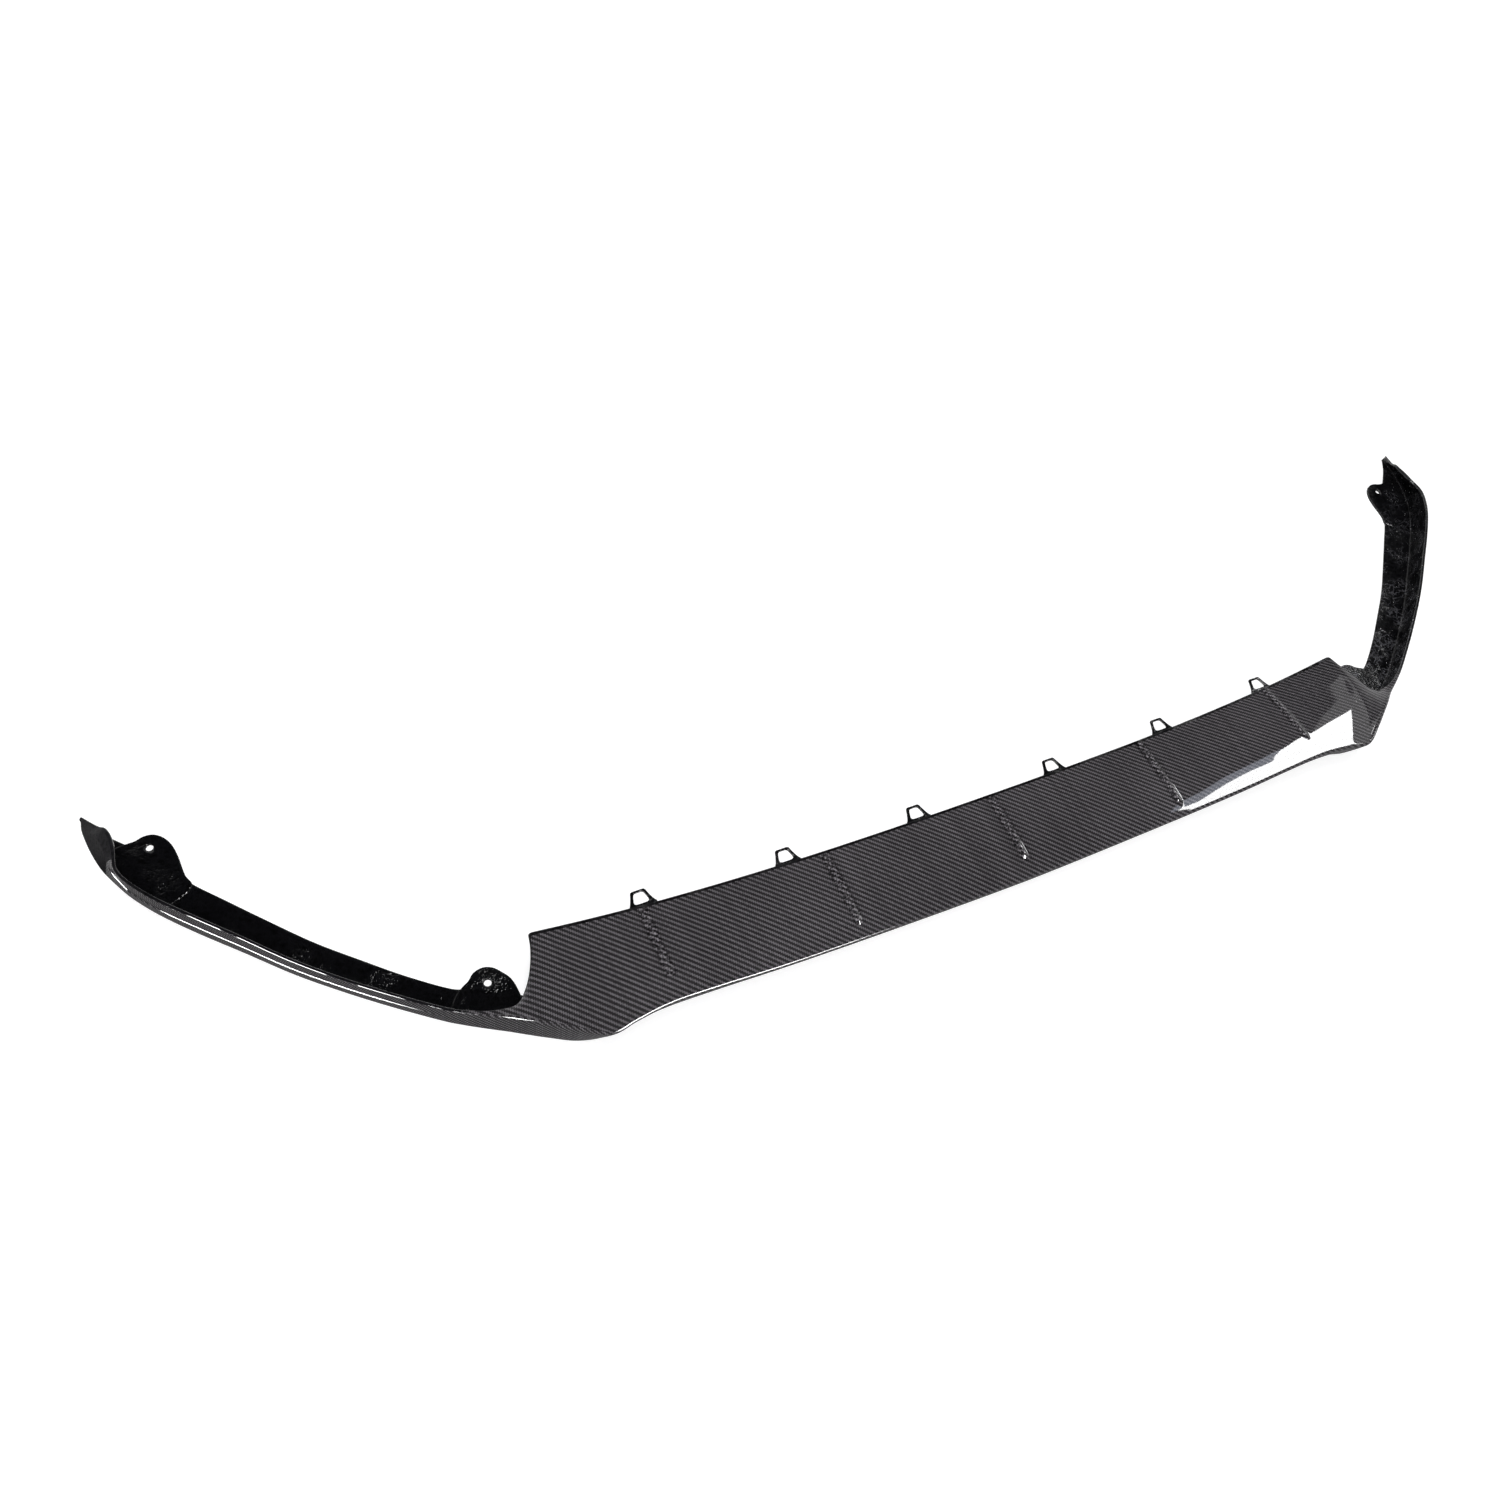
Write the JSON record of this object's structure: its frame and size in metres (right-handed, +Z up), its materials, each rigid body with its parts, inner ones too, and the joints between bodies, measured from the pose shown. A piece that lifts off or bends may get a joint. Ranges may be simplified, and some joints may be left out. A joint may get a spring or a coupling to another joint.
{
  "type": "front splitter lip",
  "caption": "Wide moulded front lip with a ribbed deck, clip loops along its rear edge and two curved side arms with screw ears.",
  "frame": {"origin": "middle plane, on the floor under the nose", "axes": "+X across the lip to the right arm seen from the nose side, +Y back from the nose to the fin tips, +Z up"},
  "size_m": [1.7562, 0.4006, 0.0485],
  "materials": {
    "laminate": "clear-coated dark twill weave outside, black resin-coated inside the arms"
  },
  "bodies": {
    "root": {"splitter_lip": "laminate"}
  },
  "joints": []
}
